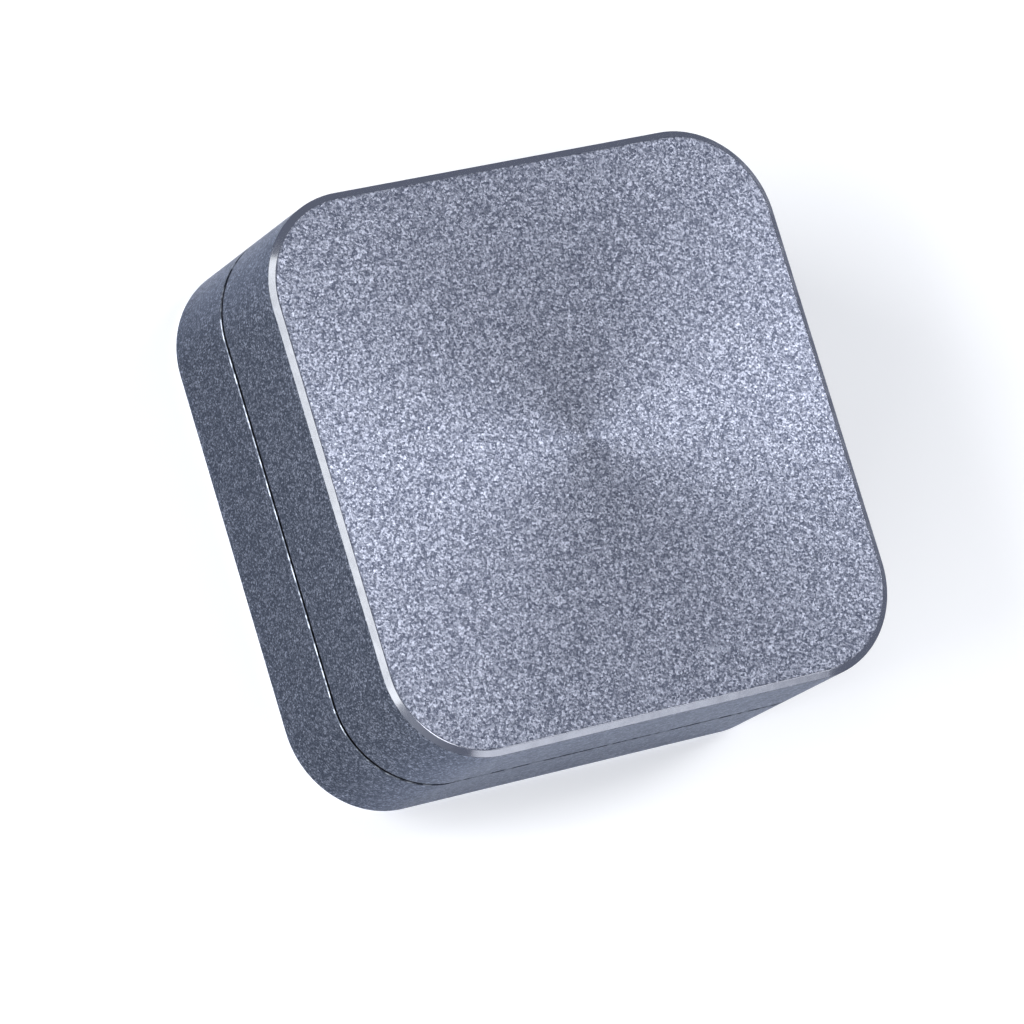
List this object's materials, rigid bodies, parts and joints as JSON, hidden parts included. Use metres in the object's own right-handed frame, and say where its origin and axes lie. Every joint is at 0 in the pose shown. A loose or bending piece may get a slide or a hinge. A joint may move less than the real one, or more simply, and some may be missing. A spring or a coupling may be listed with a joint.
{
  "type": "magnetic twist block",
  "caption": "Palm-sized rounded-square metal block in two equal halves, held together by rings of magnets, that clicks round on a central bearing and pulls apart.",
  "frame": {"origin": "centre of the rear wide face, on the surface the block lies on", "axes": "+Z out of the front wide face, along the twist axis; +X and +Y along the sides of the square"},
  "size_m": [0.038, 0.038, 0.016],
  "materials": {
    "shell_metal": "blasted and grey anodised, with a cut bright chamfer",
    "plate_steel": "brushed stainless steel",
    "screw_steel": "dark machined steel",
    "magnet_plating": "nickel plated",
    "bearing_steel": "ground and polished steel",
    "spindle_steel": "fine turned stainless steel",
    "cage_plastic": "natural nylon",
    "bush_brass": "turned brass"
  },
  "bodies": {
    "lower_half": {"lower_shell": "shell_metal", "lower_plate": "plate_steel", "lower_screws": "screw_steel", "lower_magnet_1": "magnet_plating", "lower_magnet_2": "magnet_plating", "lower_magnet_3": "magnet_plating", "lower_magnet_4": "magnet_plating", "lower_magnet_5": "magnet_plating", "lower_magnet_6": "magnet_plating", "lower_magnet_7": "magnet_plating", "lower_magnet_8": "magnet_plating", "bearing_outer_race": "bearing_steel"},
    "bearing_cage": {"bearing_cage": "cage_plastic", "bearing_ball_1": "bearing_steel", "bearing_ball_2": "bearing_steel", "bearing_ball_3": "bearing_steel", "bearing_ball_4": "bearing_steel", "bearing_ball_5": "bearing_steel", "bearing_ball_6": "bearing_steel", "bearing_ball_7": "bearing_steel"},
    "spindle": {"spindle": "spindle_steel", "bearing_inner_race": "bearing_steel", "clamp_washer": "plate_steel", "clamp_screw": "screw_steel"},
    "upper_half": {"upper_shell": "shell_metal", "upper_plate": "plate_steel", "upper_screws": "screw_steel", "upper_magnet_1": "magnet_plating", "upper_magnet_2": "magnet_plating", "upper_magnet_3": "magnet_plating", "upper_magnet_4": "magnet_plating", "upper_magnet_5": "magnet_plating", "upper_magnet_6": "magnet_plating", "upper_magnet_7": "magnet_plating", "upper_magnet_8": "magnet_plating", "socket_bush": "bush_brass"}
  },
  "joints": [
    {"name": "twist", "type": "hinge", "parent": "lower_half", "child": "spindle", "pos_m": [0, 0, 0.008], "axis": [0, 0, 1], "continuous": true},
    {"name": "pull_off", "type": "slide", "parent": "spindle", "child": "upper_half", "axis": [0, 0, 1], "range_m": [0, 0.02]},
    {"name": "cage_turn", "type": "hinge", "parent": "lower_half", "child": "bearing_cage", "pos_m": [0, 0, 0.005], "axis": [0, 0, 1], "continuous": true}
  ],
  "couplings": [
    {"joint": "cage_turn", "follows": "twist", "ratio": 0.38657}
  ]
}
